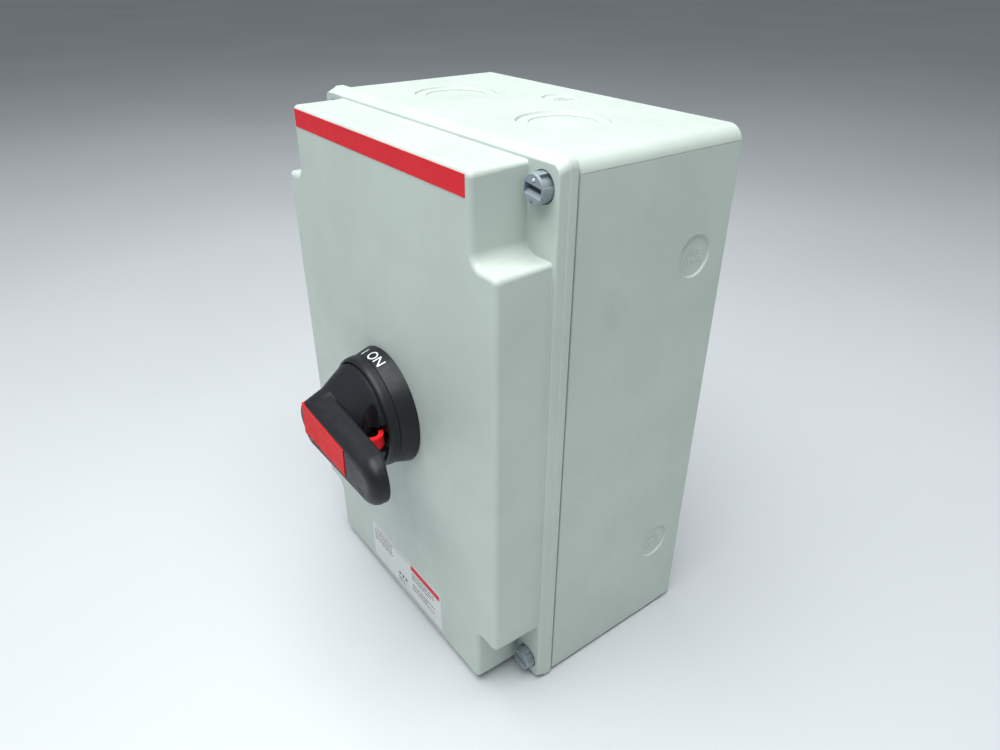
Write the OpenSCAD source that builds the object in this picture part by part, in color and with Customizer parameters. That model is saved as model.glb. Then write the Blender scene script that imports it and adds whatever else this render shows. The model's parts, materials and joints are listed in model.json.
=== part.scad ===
// Enclosed rotary isolator switch: a wall-mounted plastic box with a lift-off cover,
// a rotary handle that can be padlocked, and the three-pole switch unit that it turns.
// Origin at the middle of the back face. +X right, +Z up, the front faces -Y.
// A depth is a distance in front of the back face, so a point at depth d lies at y = -d.

/* [Enclosure] */
// Overall width of the enclosure, at the cover's flange
box_w = 204; // [203:1:230]
// Overall height of the enclosure
box_h = 300; // [298:1:330]
// Depth of the seam between the base and the cover
seam_d = 102; // [100:1:120]
// Depth of the cover's front face
front_d = 140.3; // [138:0.1:160]
// Thickness of the cover's flange
flange_t = 9.5; // [8:0.5:11]
// Wall thickness of the base and the cover
wall = 3; // [2.5:0.1:3.2]
// How far the base is set in from the flange
base_inset = 1; // [0.5:0.1:1.5]
// Radius of the base's top corners
top_r = 8; // [6:0.5:10]
// Radius of the base's bottom corners
bottom_r = 2.5; // [2:0.5:5]

/* [Raised front] */
// Half-width of the raised front between the notches
raised_x = 99.4; // [99:0.1:99.6]
// Half-width of the raised front beside the notches
raised_notch_x = 82.5; // [82:0.1:83]
// Half-height at which the corner notches start
notch_z = 107.5; // [106:0.1:109]
// Half-height of the raised front
raised_z = 145.8; // [145:0.1:146]
// Corner radius of the raised front
raised_r = 3; // [2:0.5:4]

/* [Fixings] */
// Sideways distance of the cover screws from the middle
cover_screw_x = 91.7; // [91.2:0.1:92.2]
// Height of the cover screws above and below the middle
cover_screw_z = 137.2; // [135:0.1:138]
// Radius of a cover screw's head
cover_screw_r = 6.4; // [6:0.1:6.6]
// Sideways spacing of the wall fixing holes
wall_hole_w = 150; // [130:1:150]
// Upright spacing of the wall fixing holes
wall_hole_h = 250; // [240:1:256]
// Radius of a wall fixing hole
wall_hole_r = 2.75; // [2:0.25:3]

/* [Cable entries] */
// Radius of the large knockouts in the top and bottom
large_entry_r = 21.9; // [20:0.1:22]
// Sideways distance of the large knockouts from the middle
large_entry_x = 44.5; // [40:0.5:50]
// Depth of the large knockouts
large_entry_d = 60.7; // [50:0.1:65]
// Radius of the small knockouts
small_entry_r = 10.25; // [9:0.05:10.5]
// Depth of the small knockouts
small_entry_d = 23; // [20:0.5:30]
// Height of the side knockouts above and below the middle
side_entry_z = 91; // [80:1:95]

/* [Handle] */
// Radius of the bezel at the cover
bezel_r = 33.6; // [33.4:0.1:36]
// How far the bezel stands off the cover
bezel_h = 16.3; // [15.9:0.1:16.5]
// Radius of the handle's round hub
hub_r = 28.2; // [27:0.1:28.5]
// How far the grip's front face stands off the cover
grip_h = 43.5; // [43:0.1:46]
// How far the grip's back stands off the cover
grip_back_h = 28.5; // [28.3:0.1:29.5]
// Half-height of the grip
grip_r = 13.6; // [12:0.1:15]
// Distance from the axis to the middle of the grip's round tip
grip_tip_x = 50; // [48:0.5:60]
// How far the grip hangs below level from play in the shaft, in degrees
grip_lean = 2.5; // [0:0.5:4]
// How far the padlock slide can be pushed in
slide_travel = 3.5; // [3:0.1:3.6]

/* [Switch unit] */
// Depth of one deck
deck_t = 16; // [15:0.5:16]
// Width and height of a deck
deck_w = 72; // [70:1:76]
// Radius of the arc chamber in a deck
chamber_r = 26.5; // [26:0.1:28]
// Width of the square drive shaft
shaft_w = 6; // [5:0.5:6]
// Sideways spacing of the terminals
terminal_pitch = 24; // [22:0.5:26]

/* [Hidden] */
$fn = 64;

SIDES = [-1, 1];
poles = 3; // one deck each
over = 1; // how far a cutting shape runs past the face it cuts

// Enclosure
seam_gap = 0.4;
rim_d = seam_d - seam_gap;
flange_d = seam_d + flange_t;
flange_top_r = 5;
flange_step_d = flange_d - 5; // the flange narrows in two steps towards its front
flange_step_x = 0.3;
flange_step_z = 1;
flange_edge_d = flange_d - 2.5;
flange_edge_x = 0.6;
flange_edge_z = 2.8;
flange_edge_r = 3.5;
base_x = box_w / 2 - base_inset;
base_z = box_h / 2 - base_inset;
gasket_w = 2;
gasket_seat = 2.6;
gasket_x = 99.3; // half-sizes of the gasket's centre line
gasket_notch_x = 82;
gasket_notch_z = 107;
gasket_z = 147;
rib_t = 3.4; // wall under the gasket, round the corner pockets
cavity_x = gasket_x - rib_t / 2;
cavity_notch_x = gasket_notch_x - rib_t / 2;
cavity_notch_z = gasket_notch_z - rib_t / 2;
cavity_z = base_z - wall - 0.4;
pocket_x0 = gasket_notch_x + rib_t / 2;
pocket_z0 = gasket_notch_z + rib_t / 2;

// M4 screws and the blind holes that they go into
m4_r = 2;
m4_head_r = 3.6;
m4_head_t = 2.6;
pilot_d = 4;

// Cover screws
screw_hole_gap = 0.4;
screw_seat_d = seam_d + wall;
screw_head_back_d = screw_seat_d + 0.3;
screw_front_d = flange_d + 5.3;
screw_shank_r = 3;
screw_tip_d = seam_d - 26;
insert_r = 4.5;
insert_back_d = screw_tip_d + 2;
insert_front_d = seam_d - 2;
post_r = 6.5;
post_bore_d = screw_tip_d - 2;
running_gap = 0.05;

// Wall fixings, and the pads that the mounting plate stands on
wall_boss_r = 8;
wall_boss_d = 5;
pad_r = 6;

// Handle
spigot_r = 10;
spigot_back_d = front_d - 7.3;
ring_back_d = spigot_back_d + 1.2; // the retaining ring, in a groove round the spigot
ring_front_d = ring_back_d + 2.2;
ring_seat_r = spigot_r - 0.8;
bezel_front_d = front_d + bezel_h;
bezel_recess_d = front_d + 10.7;
hub_back_d = bezel_recess_d + 0.3;
hub_front_d = front_d + 18.2;
hub_gap = 0.7;
bezel_step_d = front_d + 10.3;
bezel_step_r = bezel_r - 2;
bezel_front_r = bezel_r - 2.9;
hub_hole_r = 11;
bezel_screw_pcd_r = 21.5;
bezel_screw_front_d = front_d + 7.7;
seal_t = 1;
shaft_back_d = 70;
shaft_front_d = bezel_screw_front_d;
grip_front_d = front_d + grip_h;
grip_back_d = front_d + grip_back_h;
socket_gap = 0.1;
plate_x0 = -14; // the padlock slide's face plate
plate_x1 = 33;
plate_z0 = 9.8;
plate_z1 = 8;
plate_t = 2;
plate_proud = 0.3;
slide_gap = 0.3;
shackle_r = 4.2; // the padlock's hole, in the round end of the slide's tongue
eye_x = 22.2;
eye_d = grip_back_d - 5.5;
eye_r = 6.8;
tongue_x0 = 24;
tongue_x1 = eye_x + eye_r;
tongue_z = 3.5;
recess_d = grip_front_d + plate_proud - plate_t - slide_travel - 0.6;
spring_x = -4;
spring_r = 3.4;
spring_wire_r = 0.7;
spring_back_d = grip_front_d - 11.8;

// Switch unit, from the back wall forwards
plate_back_d = 8;
mount_plate_t = 2;
unit_back_d = plate_back_d + mount_plate_t;
decks_d = unit_back_d + 8;
mechanism_d = decks_d + poles * deck_t;
mechanism_t = 16;
unit_front_d = mechanism_d + mechanism_t;
mount_plate_x = 75;
mount_plate_z = 95;
standoff_x = 65;
standoff_z = 85;
bolt_pos = deck_w / 2 - 5;
bolt_back_d = unit_back_d + 1;
fixing_x = 36;
fixing_z = 42;
rotor_r = 9;
rotor_back_d = decks_d + 0.3;
cam_back_d = mechanism_d + 3;
cam_front_d = mechanism_d + 11;
detent_d = (cam_back_d + cam_front_d) / 2;
plunger_x = 18.4;
plunger_t = 4;
detent_slot_x = 33;
blade_x = 23;
blade_z = 4;
blade_t = 2;
jaw_gap = 0.1;
leaf_t = 1;
contact_t = blade_t + 2 * (jaw_gap + leaf_t);
contact_w = 10;
jaw_z = 19;
run_z = deck_w / 2 + 2;
run_w = 8;
clamp_z = 49.5;
clamp_h = 10.5;
clamp_w = 16;
clamp_wall = 2;
cable_space = 7;
screw_wall = 3;
terminal_screw_r = 2.4;
earth_z = -125;
earth_d = 10;
earth_t = 8;
earth_post_x = 30;
earth_ways = [-20:10:20];

// Depth of the middle of deck i, counted from 0 at the back
function deck_mid(i) = decks_d + (i + 0.5) * deck_t;
// Sideways place of pole i's terminals
function terminal_x(i) = (i - (poles - 1) / 2) * terminal_pitch;

// An outline drawn in X and Z, made solid between two depths
module slab(d0, d1) {
    translate([0, -d0, 0]) rotate([90, 0, 0]) linear_extrude(d1 - d0) children();
}

// A round bar along the depth
module rod(x, z, d0, d1, r) {
    translate([x, -d0, z]) rotate([90, 0, 0]) cylinder(r = r, h = d1 - d0);
}

// A block centred on x and z between two depths
module block(x, z, w, h, d0, d1) {
    slab(d0, d1) translate([x, z]) square([w, h], center = true);
}

// A rectangle centred on the origin, with half-sizes x and z and round corners
module round_rect(x, z, r) {
    square([2 * x, 2 * (z - r)], center = true);
    square([2 * (x - r), 2 * z], center = true);
    for (sx = SIDES, sz = SIDES) translate([sx * (x - r), sz * (z - r)]) circle(r = r);
}

// A rectangle centred on the origin, whose top and bottom corners have radii of their own
module box_outline(x, z, top_r, bottom_r) {
    translate([0, (bottom_r - top_r) / 2])
        square([2 * x, 2 * z - top_r - bottom_r], center = true);
    for (s = SIDES) {
        r = s > 0 ? top_r : bottom_r;
        translate([0, s * z / 2]) square([2 * (x - r), z], center = true);
        for (sx = SIDES) translate([sx * (x - r), s * (z - r)]) circle(r = r);
    }
}

// A rectangle with a notch at each corner
module notched(x, notch_x, notch_z, z) {
    square([2 * x, 2 * notch_z], center = true);
    square([2 * notch_x, 2 * z], center = true);
}

// Children copied to the four corners of a rectangle
module corners(x, z) {
    for (sx = SIDES, sz = SIDES) translate([sx * x, 0, sz * z]) children();
}

// A pan-head screw along the depth: shank from d0 to d1, head from d1 to d2
module screw(d0, d1, d2, shank_r, head_r) {
    slot_w = 0.8;
    slot_deep = 0.8;
    difference() {
        union() {
            rod(0, 0, d0, d1, shank_r);
            rod(0, 0, d1, d2, head_r);
        }
        block(0, 0, 2 * head_r + over, slot_w, d2 - slot_deep, d2 + over);
    }
}

// An M4 screw with its tip at d0, and its head's underside at d1
module m4_screw(d0, d1) {
    screw(d0, d1, d1 + m4_head_t, m4_r, m4_head_r);
}

// The round recess that marks a knockout, sunk into the face at z = 0
module knockout(r, deep) {
    translate([0, 0, -deep]) cylinder(r = r, h = deep + over);
}

// The base's open shell: a middle cavity and a pocket at each corner
module base_shell() {
    difference() {
        slab(0, rim_d) box_outline(base_x, base_z, top_r, bottom_r);
        slab(wall, rim_d + over) notched(cavity_x, cavity_notch_x, cavity_notch_z, cavity_z);
        for (sx = SIDES, sz = SIDES)
            block(sx * (pocket_x0 + cavity_x) / 2, sz * (pocket_z0 + cavity_z) / 2,
                cavity_x - pocket_x0, cavity_z - pocket_z0, wall, rim_d + over);
    }
}

module base_box() {
    earth_pad_r = 4.5;
    hole_ring_r = 9;
    back_band = 12;
    recess_t = 0.8;
    recess_r = 8;
    knockout_t = 1.1;
    nick_x = -43;
    nick_w = 9;
    inner_ring = 5.5;
    color([0.79, 0.80, 0.77]) difference() {
        union() {
            base_shell();
            corners(cover_screw_x, cover_screw_z) rod(0, 0, wall / 2, rim_d, post_r);
            corners(wall_hole_w / 2, wall_hole_h / 2) rod(0, 0, wall / 2, wall_boss_d, wall_boss_r);
            corners(standoff_x, standoff_z) rod(0, 0, wall / 2, plate_back_d, pad_r);
            for (s = SIDES) rod(s * earth_post_x, earth_z, wall / 2, earth_d, earth_pad_r);
        }
        corners(cover_screw_x, cover_screw_z) rod(0, 0, post_bore_d, rim_d + over, insert_r);
        corners(wall_hole_w / 2, wall_hole_h / 2)
            rod(0, 0, -over, wall_boss_d + over, wall_hole_r);
        corners(standoff_x, standoff_z) rod(0, 0, pilot_d, plate_back_d + over, m4_r);
        for (s = SIDES) rod(s * earth_post_x, earth_z, pilot_d, earth_d + over, m4_r);
        // Back face, set in except for a band round its edge and a ring round each hole
        difference() {
            slab(-over, recess_t) round_rect(base_x - back_band, base_z - back_band, recess_r);
            corners(wall_hole_w / 2, wall_hole_h / 2) rod(0, 0, -2 * over, wall, hole_ring_r);
        }
        // Knockouts: top and bottom, then the sides
        for (s = SIDES) {
            for (x = [-large_entry_x, large_entry_x])
                translate([x, -large_entry_d, s * base_z]) rotate([s > 0 ? 0 : 180, 0, 0]) {
                    knockout(large_entry_r, knockout_t);
                    knockout(large_entry_r - inner_ring, 1.5 * knockout_t);
                }
            translate([0, -small_entry_d, s * base_z]) rotate([s > 0 ? 0 : 180, 0, 0])
                knockout(small_entry_r, knockout_t);
            for (z = [-side_entry_z, side_entry_z])
                translate([s * base_x, -small_entry_d, z]) rotate([0, s * 90, 0])
                    knockout(small_entry_r, knockout_t);
        }
        // Moulding nick in the top back edge
        block(nick_x, base_z, nick_w, 3, -over, 1.5);
    }
}

module cover_screw_inserts() {
    color([0.78, 0.66, 0.35]) corners(cover_screw_x, cover_screw_z) difference() {
        rod(0, 0, insert_back_d, insert_front_d, insert_r);
        rod(0, 0, insert_back_d - over, insert_front_d + over, screw_shank_r + running_gap);
    }
}

module mounting_plate() {
    color([0.72, 0.74, 0.76]) difference() {
        slab(plate_back_d, unit_back_d) round_rect(mount_plate_x, mount_plate_z, 4);
        corners(standoff_x, standoff_z) rod(0, 0, 0, unit_back_d + over, m4_r);
        corners(fixing_x, fixing_z) rod(0, 0, 0, unit_back_d + over, m4_r);
    }
}

module plate_screws() {
    color("silver") corners(standoff_x, standoff_z) m4_screw(pilot_d, unit_back_d);
}

module cover() {
    inside_x = raised_x - wall;
    inside_notch_x = raised_notch_x - wall;
    inside_notch_z = notch_z - wall;
    inside_z = raised_z - wall;
    half_w = box_w / 2;
    half_h = box_h / 2;
    color([0.80, 0.81, 0.78]) difference() {
        union() {
            slab(seam_d, flange_step_d)
                box_outline(half_w, half_h, flange_top_r, bottom_r + base_inset);
            slab(flange_step_d, flange_edge_d)
                box_outline(half_w - flange_step_x, half_h - flange_step_z, flange_top_r, bottom_r);
            slab(flange_edge_d, flange_d)
                round_rect(half_w - flange_edge_x, half_h - flange_edge_z, flange_edge_r);
            slab(flange_edge_d, front_d) round_rect(raised_x, notch_z, raised_r);
            slab(flange_edge_d, front_d) round_rect(raised_notch_x, raised_z, raised_r);
        }
        slab(seam_d - over, front_d - wall)
            notched(inside_x, inside_notch_x, inside_notch_z, inside_z);
        slab(seam_d - over, seam_d + gasket_seat) gasket_outline();
        corners(cover_screw_x, cover_screw_z) {
            rod(0, 0, screw_seat_d, flange_d + over, cover_screw_r + screw_hole_gap);
            rod(0, 0, seam_d - over, flange_d, screw_shank_r + 0.2);
        }
        rod(0, 0, front_d - 2 * wall, front_d + over, hub_hole_r);
        for (a = [45:90:315]) rotate([0, a, 0])
            rod(bezel_screw_pcd_r, 0, front_d - 2 * wall, front_d + over, m4_r);
    }
}

// The closed loop that the gasket follows
module gasket_outline() {
    g = gasket_w / 2;
    difference() {
        notched(gasket_x + g, gasket_notch_x + g, gasket_notch_z + g, gasket_z + g);
        notched(gasket_x - g, gasket_notch_x - g, gasket_notch_z - g, gasket_z - g);
    }
}

module cover_gasket() {
    color([0.2, 0.2, 0.2]) slab(rim_d, seam_d + gasket_seat) gasket_outline();
}

module red_stripe() {
    stripe_t = 0.2;
    color([0.85, 0.12, 0.16]) block(0, 139.6, 2 * (raised_notch_x - raised_r), 9.2,
        front_d, front_d + stripe_t);
}

module rating_label() {
    label_t = 0.15;
    color([0.93, 0.93, 0.91]) slab(front_d, front_d + label_t)
        translate([3.7, -125.8]) round_rect(41.3, 14.2, 0.8);
}

// A captive quarter-turn screw with a deep slot across its head
module cover_screw(sx, sz) {
    slot_w = 3.2;
    slot_deep = 4;
    slot_l = 9.6;
    color([0.55, 0.60, 0.63]) translate([sx * cover_screw_x, 0, sz * cover_screw_z]) difference() {
        union() {
            rod(0, 0, screw_tip_d, screw_head_back_d + over, screw_shank_r);
            rod(0, 0, screw_head_back_d, screw_front_d, cover_screw_r);
        }
        block(0, 0, slot_l, slot_w, screw_front_d - slot_deep, screw_front_d + over);
    }
}

module handle_bezel() {
    lip = 0.8;
    recess_r = hub_r + hub_gap;
    bore_r = spigot_r + running_gap;
    color([0.09, 0.09, 0.10]) difference() {
        rotate([90, 0, 0]) rotate_extrude() polygon([
            [bore_r, front_d], [bezel_r, front_d], [bezel_step_r, bezel_step_d],
            [bezel_front_r, bezel_front_d - lip], [bezel_front_r - lip, bezel_front_d],
            [recess_r, bezel_front_d], [recess_r, bezel_recess_d], [bore_r, bezel_recess_d]
        ]);
        for (a = [45:90:315]) rotate([0, a, 0])
            rod(bezel_screw_pcd_r, 0, front_d - over, bezel_screw_front_d, m4_r);
        seal_ring(front_d - over, front_d + seal_t);
    }
}

// Flat ring between the bezel and the cover
module seal_ring(d0, d1) {
    difference() {
        rod(0, 0, d0, d1, bezel_r - 4);
        rod(0, 0, d0 - over, d1 + over, bezel_r - 7);
    }
}

module bezel_seal() {
    color([0.15, 0.15, 0.15]) seal_ring(front_d, front_d + seal_t);
}

module bezel_screws() {
    head_d = front_d - wall;
    head_back_d = head_d - m4_head_t;
    slot_w = 0.8;
    slot_deep = 0.8;
    color("silver") for (a = [45:90:315]) rotate([0, a, 0]) difference() {
        union() {
            rod(bezel_screw_pcd_r, 0, head_d, bezel_screw_front_d, m4_r);
            rod(bezel_screw_pcd_r, 0, head_back_d, head_d, m4_head_r);
        }
        block(bezel_screw_pcd_r, 0, 3 * m4_head_r, slot_w, head_back_d - over,
            head_back_d + slot_deep);
    }
}

// The hub's cone and the pistol grip, before anything is cut out of them
module grip_body() {
    edge = 2.6;
    end_x = -6.5;
    $fn = 32;
    rod(0, 0, hub_back_d, hub_front_d, hub_r, $fn = 64);
    hull() {
        rod(0, 0, hub_front_d - 1, hub_front_d, hub_r - 0.4);
        rod(end_x, 0, grip_front_d - 7, grip_front_d - 5, grip_r);
        rod(0, 0, grip_back_d + 1, grip_back_d + 2, grip_r + 2);
    }
    hull() {
        rod(end_x, 0, grip_back_d + edge, grip_front_d - edge, grip_r);
        rod(end_x, 0, grip_back_d, grip_front_d, grip_r - edge);
        rod(grip_tip_x - 18, 0, grip_back_d + edge, grip_front_d - edge, grip_r);
        rod(grip_tip_x - 18, 0, grip_back_d, grip_front_d, grip_r - edge);
        rod(grip_tip_x, 0, grip_back_d + 6, grip_front_d - edge, grip_r);
        rod(grip_tip_x, 0, grip_back_d + 4, grip_front_d, grip_r - edge);
    }
}

// The padlock slide's face plate, grown by gap all round
module plate_outline(gap) {
    polygon([
        [plate_x0 - gap, -plate_z0 - gap], [plate_x1 + gap, -plate_z1 - gap],
        [plate_x1 + gap, plate_z1 + gap], [plate_x0 - gap, plate_z0 + gap]
    ]);
}

module handle_grip() {
    socket_w = shaft_w + 2 * socket_gap;
    tongue_mid = (tongue_x0 + tongue_x1) / 2;
    slot_w = tongue_x1 - tongue_x0 + 2 * slide_gap;
    slot_h = 2 * (tongue_z + slide_gap);
    eye_room = eye_r + slide_gap;
    color([0.10, 0.10, 0.11]) difference() {
        union() {
            rotate([0, grip_lean, 0]) grip_body();
            rod(0, 0, spigot_back_d, hub_back_d + over, spigot_r);
        }
        rotate([0, grip_lean, 0]) {
            slab(recess_d, grip_front_d + over) plate_outline(slide_gap);
            block(tongue_mid, 0, slot_w, slot_h, eye_d, grip_front_d);
            block(eye_x, 0, 2 * eye_room, slot_h, eye_d - slide_travel - eye_room,
                eye_d + eye_room);
            // Way through the neck for the padlock's shackle
            shackle_way(shackle_r + slide_gap);
            rod(spring_x, 0, spring_back_d, grip_front_d, spring_r + spring_wire_r + slide_gap);
        }
        block(0, 0, socket_w, socket_w, spigot_back_d - over, shaft_front_d + 2);
        difference() {
            rod(0, 0, ring_back_d, ring_front_d, spigot_r + over);
            rod(0, 0, ring_back_d - over, ring_front_d + over, ring_seat_r);
        }
    }
}

module hub_retaining_ring() {
    color([0.6, 0.6, 0.62]) difference() {
        rod(0, 0, ring_back_d, ring_front_d, spigot_r + 2.5);
        rod(0, 0, ring_back_d - over, ring_front_d + over, ring_seat_r);
    }
}

module padlock_slide() {
    tongue_w = tongue_x1 - tongue_x0;
    tongue_mid = (tongue_x0 + tongue_x1) / 2;
    plate_back_d = grip_front_d + plate_proud - plate_t;
    color([0.88, 0.13, 0.13]) rotate([0, grip_lean, 0]) difference() {
        union() {
            slab(plate_back_d, grip_front_d + plate_proud) plate_outline(0);
            block(tongue_mid, 0, tongue_w, 2 * tongue_z, eye_d, plate_back_d + 1);
            translate([eye_x, -eye_d, 0]) cylinder(r = eye_r, h = 2 * tongue_z, center = true);
        }
        shackle_way(shackle_r);
    }
}

// A round bar upright through the padlock's hole
module shackle_way(r) {
    translate([eye_x, -eye_d, 0]) cylinder(r = r, h = 2 * (hub_r + over), center = true);
}

module padlock_spring() {
    length = grip_front_d + plate_proud - plate_t - slide_gap - spring_back_d;
    turns = 9;
    pitch = (length - 2 * spring_wire_r) / (turns - 1);
    color("silver") rotate([0, grip_lean, 0]) translate([spring_x, -spring_back_d, 0])
        rotate([90, 0, 0]) rotate_extrude()
            for (i = [0:turns - 1])
                translate([spring_r, spring_wire_r + i * pitch])
                    circle(r = spring_wire_r, $fn = 16);
}

module drive_shaft() {
    color("silver") block(0, 0, shaft_w, shaft_w, shaft_back_d, shaft_front_d);
}

module shaft_coupling() {
    coupling_back_d = unit_front_d + 5;
    coupling_front_d = coupling_back_d + 10;
    outer_r = 8.5;
    set_screw_r = 1.5;
    color([0.80, 0.68, 0.38]) difference() {
        rod(0, 0, coupling_back_d, coupling_front_d, outer_r);
        block(0, 0, shaft_w, shaft_w, coupling_back_d - over, coupling_front_d + over);
        translate([0, -(coupling_back_d + coupling_front_d) / 2, 0])
            cylinder(r = set_screw_r, h = outer_r + over);
    }
}

module rotor() {
    cam_r = 18;
    notch_r = 2.5;
    notch_out = 1.2;
    collar_r = 14;
    collar_t = 8;
    color([0.55, 0.16, 0.12]) difference() {
        union() {
            rod(0, 0, rotor_back_d, unit_front_d + 4, rotor_r);
            for (i = [0:poles - 1])
                rod(0, 0, deck_mid(i) - collar_t / 2, deck_mid(i) + collar_t / 2, collar_r);
            rod(0, 0, cam_back_d, cam_front_d, cam_r);
        }
        for (i = [0:poles - 1])
            block(0, 0, 2 * blade_x, 2 * blade_z, deck_mid(i) - blade_t / 2,
                deck_mid(i) + blade_t / 2);
        for (a = [0:90:270]) rotate([0, a, 0])
            rod(cam_r + notch_out, 0, cam_back_d - over, cam_front_d + over, notch_r);
        block(0, 0, shaft_w, shaft_w, shaft_back_d, unit_front_d + 10);
    }
}

// The knife blade of deck i
module moving_contact(i) {
    color([0.80, 0.50, 0.35])
        block(0, 0, 2 * blade_x, 2 * blade_z, deck_mid(i) - blade_t / 2, deck_mid(i) + blade_t / 2);
}

module switch_base() {
    color([0.25, 0.26, 0.28]) difference() {
        slab(unit_back_d, decks_d) round_rect(42, 48, 4);
        corners(fixing_x, fixing_z) rod(0, 0, unit_back_d - over, decks_d + over, m4_r);
        corners(bolt_pos, bolt_pos) rod(0, 0, bolt_back_d, decks_d + over, m4_r);
    }
}

// The moulded frame of deck i, with a channel for each fixed contact
module deck_housing(i) {
    mid = deck_mid(i);
    half_t = deck_t / 2;
    channel = contact_t / 2 + 0.2;
    color([0.30, 0.31, 0.33]) difference() {
        slab(mid - half_t, mid + half_t) round_rect(deck_w / 2, deck_w / 2, 3);
        rod(0, 0, mid - half_t - over, mid + half_t + over, chamber_r);
        block(0, 0, contact_w + 0.4, deck_w + over, mid - channel, mid + channel);
        corners(bolt_pos, bolt_pos) rod(0, 0, mid - half_t - over, mid + half_t + over, m4_r);
    }
}

module mechanism_housing() {
    room_r = 20;
    color([0.22, 0.23, 0.25]) difference() {
        slab(mechanism_d, unit_front_d) round_rect(deck_w / 2, deck_w / 2, 5);
        rod(0, 0, mechanism_d - over, unit_front_d - wall, room_r);
        rod(0, 0, mechanism_d, unit_front_d + over, rotor_r + 0.2);
        block(0, 0, 2 * detent_slot_x, cam_front_d - cam_back_d, cam_back_d, cam_front_d);
        corners(bolt_pos, bolt_pos) rod(0, 0, mechanism_d - over, unit_front_d + over, m4_r);
    }
}

module detent_plungers() {
    plunger_r = 3.4;
    color("silver") for (s = SIDES) translate([s * plunger_x, -detent_d, 0])
        rotate([0, s * 90, 0]) cylinder(r = plunger_r, h = plunger_t);
}

module detent_springs() {
    coil_r = 2.6;
    wire_r = 0.7;
    turns = 8;
    pitch = (detent_slot_x - plunger_x - plunger_t - 2 * wire_r) / (turns - 1);
    color("silver") for (s = SIDES) translate([s * (plunger_x + plunger_t), -detent_d, 0])
        rotate([0, s * 90, 0]) rotate_extrude() for (i = [0:turns - 1])
            translate([coil_r, wire_r + i * pitch]) circle(r = wire_r, $fn = 16);
}

module stack_bolts() {
    color("silver") corners(bolt_pos, bolt_pos)
        m4_screw(bolt_back_d, unit_front_d);
}

module switch_fixing_screws() {
    color("silver") corners(fixing_x, fixing_z) m4_screw(plate_back_d, decks_d);
}

// The fixed contact of pole i: a jaw in the chamber, a side run and a terminal tail
module fixed_contact(i) {
    mid = deck_mid(i);
    tail_x = terminal_x(i);
    slot = blade_t / 2 + jaw_gap;
    jaw_h = 12;
    difference() {
        slab(mid - contact_t / 2, mid + contact_t / 2) {
            translate([-contact_w / 2, jaw_z]) square([contact_w, run_z - jaw_z + run_w]);
            translate([min(0, tail_x) - contact_w / 2, run_z])
                square([abs(tail_x) + contact_w, run_w]);
            translate([tail_x - contact_w / 2, run_z])
                square([contact_w, clamp_z + clamp_h - run_z]);
        }
        block(0, jaw_z, contact_w + over, jaw_h, mid - slot, mid + slot);
    }
}

module line_contacts() {
    color([0.80, 0.50, 0.35]) for (i = [0:poles - 1]) fixed_contact(i);
}

module load_contacts() {
    color([0.80, 0.50, 0.35]) mirror([0, 0, 1]) for (i = [0:poles - 1]) fixed_contact(i);
}

// The clamp cage round pole i's terminal tail
module clamp_cage(i) {
    mid = deck_mid(i);
    back_d = mid - contact_t / 2 - cable_space;
    seat_d = mid + contact_t / 2;
    z = clamp_z + clamp_h / 2;
    difference() {
        block(terminal_x(i), z, clamp_w, clamp_h, back_d - clamp_wall, seat_d + screw_wall);
        block(terminal_x(i), z, contact_w, clamp_h + over, back_d, seat_d);
        rod(terminal_x(i), z, seat_d - over, seat_d + screw_wall + over, terminal_screw_r);
    }
}

module terminal_clamps() {
    color([0.70, 0.70, 0.68]) for (m = [0, 1]) mirror([0, 0, m])
        for (i = [0:poles - 1]) clamp_cage(i);
}

module terminal_screws() {
    color("silver") for (m = [0, 1]) mirror([0, 0, m]) for (i = [0:poles - 1]) {
        seat_d = deck_mid(i) + contact_t / 2;
        translate([terminal_x(i), 0, clamp_z + clamp_h / 2])
            screw(seat_d, seat_d + screw_wall, seat_d + screw_wall + m4_head_t,
                terminal_screw_r, m4_head_r);
    }
}

// Two combs that stand on the mounting plate and part the poles' terminals
module pole_barriers() {
    fin_t = 1.6;
    fin_z = 56;
    fin_h = 13;
    foot_t = 2.4;
    color([0.85, 0.85, 0.82]) for (s = SIDES) {
        block(0, s * fin_z, 2 * terminal_pitch, fin_h, unit_back_d, unit_back_d + foot_t);
        for (x = [-terminal_pitch / 2, terminal_pitch / 2])
            block(x, s * fin_z, fin_t, fin_h, unit_back_d, mechanism_d);
    }
}

module earth_bar() {
    wire_r = 2.2;
    wire_d = earth_d + 3;
    color([0.80, 0.68, 0.38]) difference() {
        block(0, earth_z, 2 * earth_post_x + 12, 9, earth_d, earth_d + earth_t);
        for (s = SIDES)
            rod(s * earth_post_x, earth_z, earth_d - over, earth_d + earth_t + over, m4_r);
        for (x = earth_ways) {
            rod(x, earth_z, wire_d, earth_d + earth_t + over, m4_r);
            translate([x, -wire_d, earth_z]) cylinder(r = wire_r, h = 20, center = true);
        }
    }
}

module earth_bar_screws() {
    color("silver") for (s = SIDES) translate([s * earth_post_x, 0, earth_z])
        m4_screw(pilot_d, earth_d + earth_t);
}

module earth_terminal_screws() {
    tip_d = earth_d + 5.5;
    color("silver") for (x = earth_ways) translate([x, 0, earth_z])
        m4_screw(tip_d, earth_d + earth_t);
}

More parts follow.
